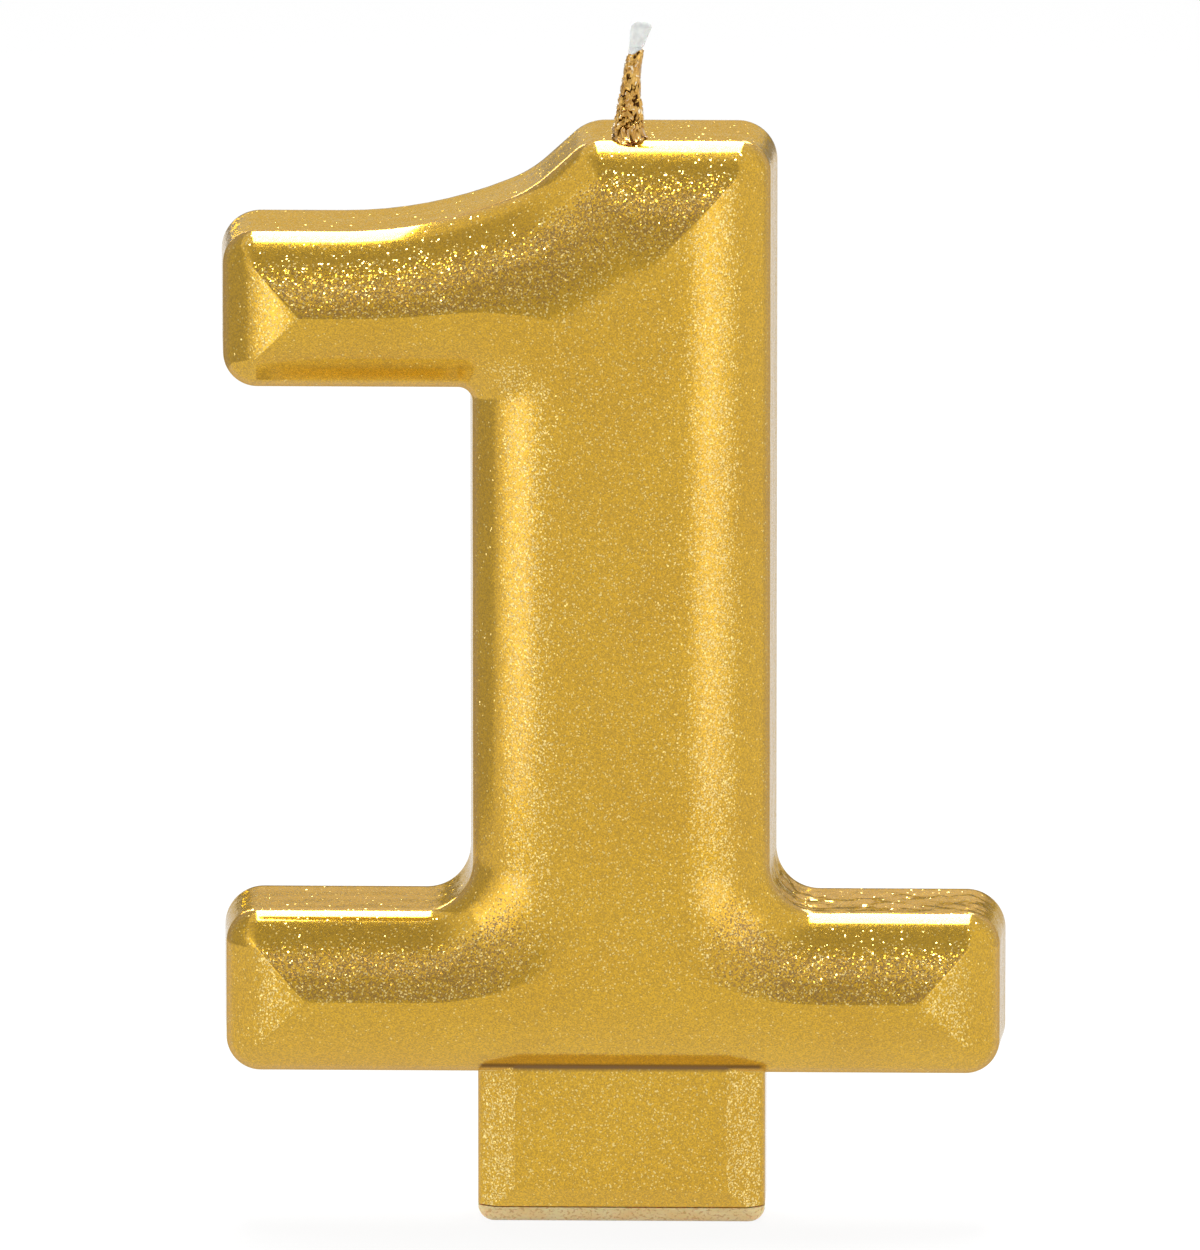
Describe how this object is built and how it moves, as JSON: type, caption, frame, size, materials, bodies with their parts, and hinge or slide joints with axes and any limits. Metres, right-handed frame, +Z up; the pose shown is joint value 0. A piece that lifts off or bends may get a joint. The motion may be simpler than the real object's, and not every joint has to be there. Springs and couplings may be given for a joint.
{
  "type": "number candle",
  "caption": "Figure one birthday candle: moulded wax numeral with a crowned face and insert tab, gold skin, and a cotton wick with a gold sleeve.",
  "frame": {"origin": "middle of the insert tab's level wax foot, which the candle stands on", "axes": "+Z up along the stem to the wick, -Y towards the crowned front face, +Y towards the flat back, +X towards the short right end of the foot bar"},
  "size_m": [0.0541, 0.0129, 0.0839],
  "materials": {
    "wax": "pale paraffin wax, slightly translucent, satin",
    "gold_skin": "gold flake lacquer under a glossy clear wax, fine sparkle",
    "wick": "waxed white cotton braid with a frayed tip",
    "wick_gold": "crinkled gold lacquer, glossy"
  },
  "bodies": {
    "root": {"wax_core": "wax", "gold_skin": "gold_skin", "wick": "wick", "wick_sleeve": "wick_gold"}
  },
  "joints": []
}
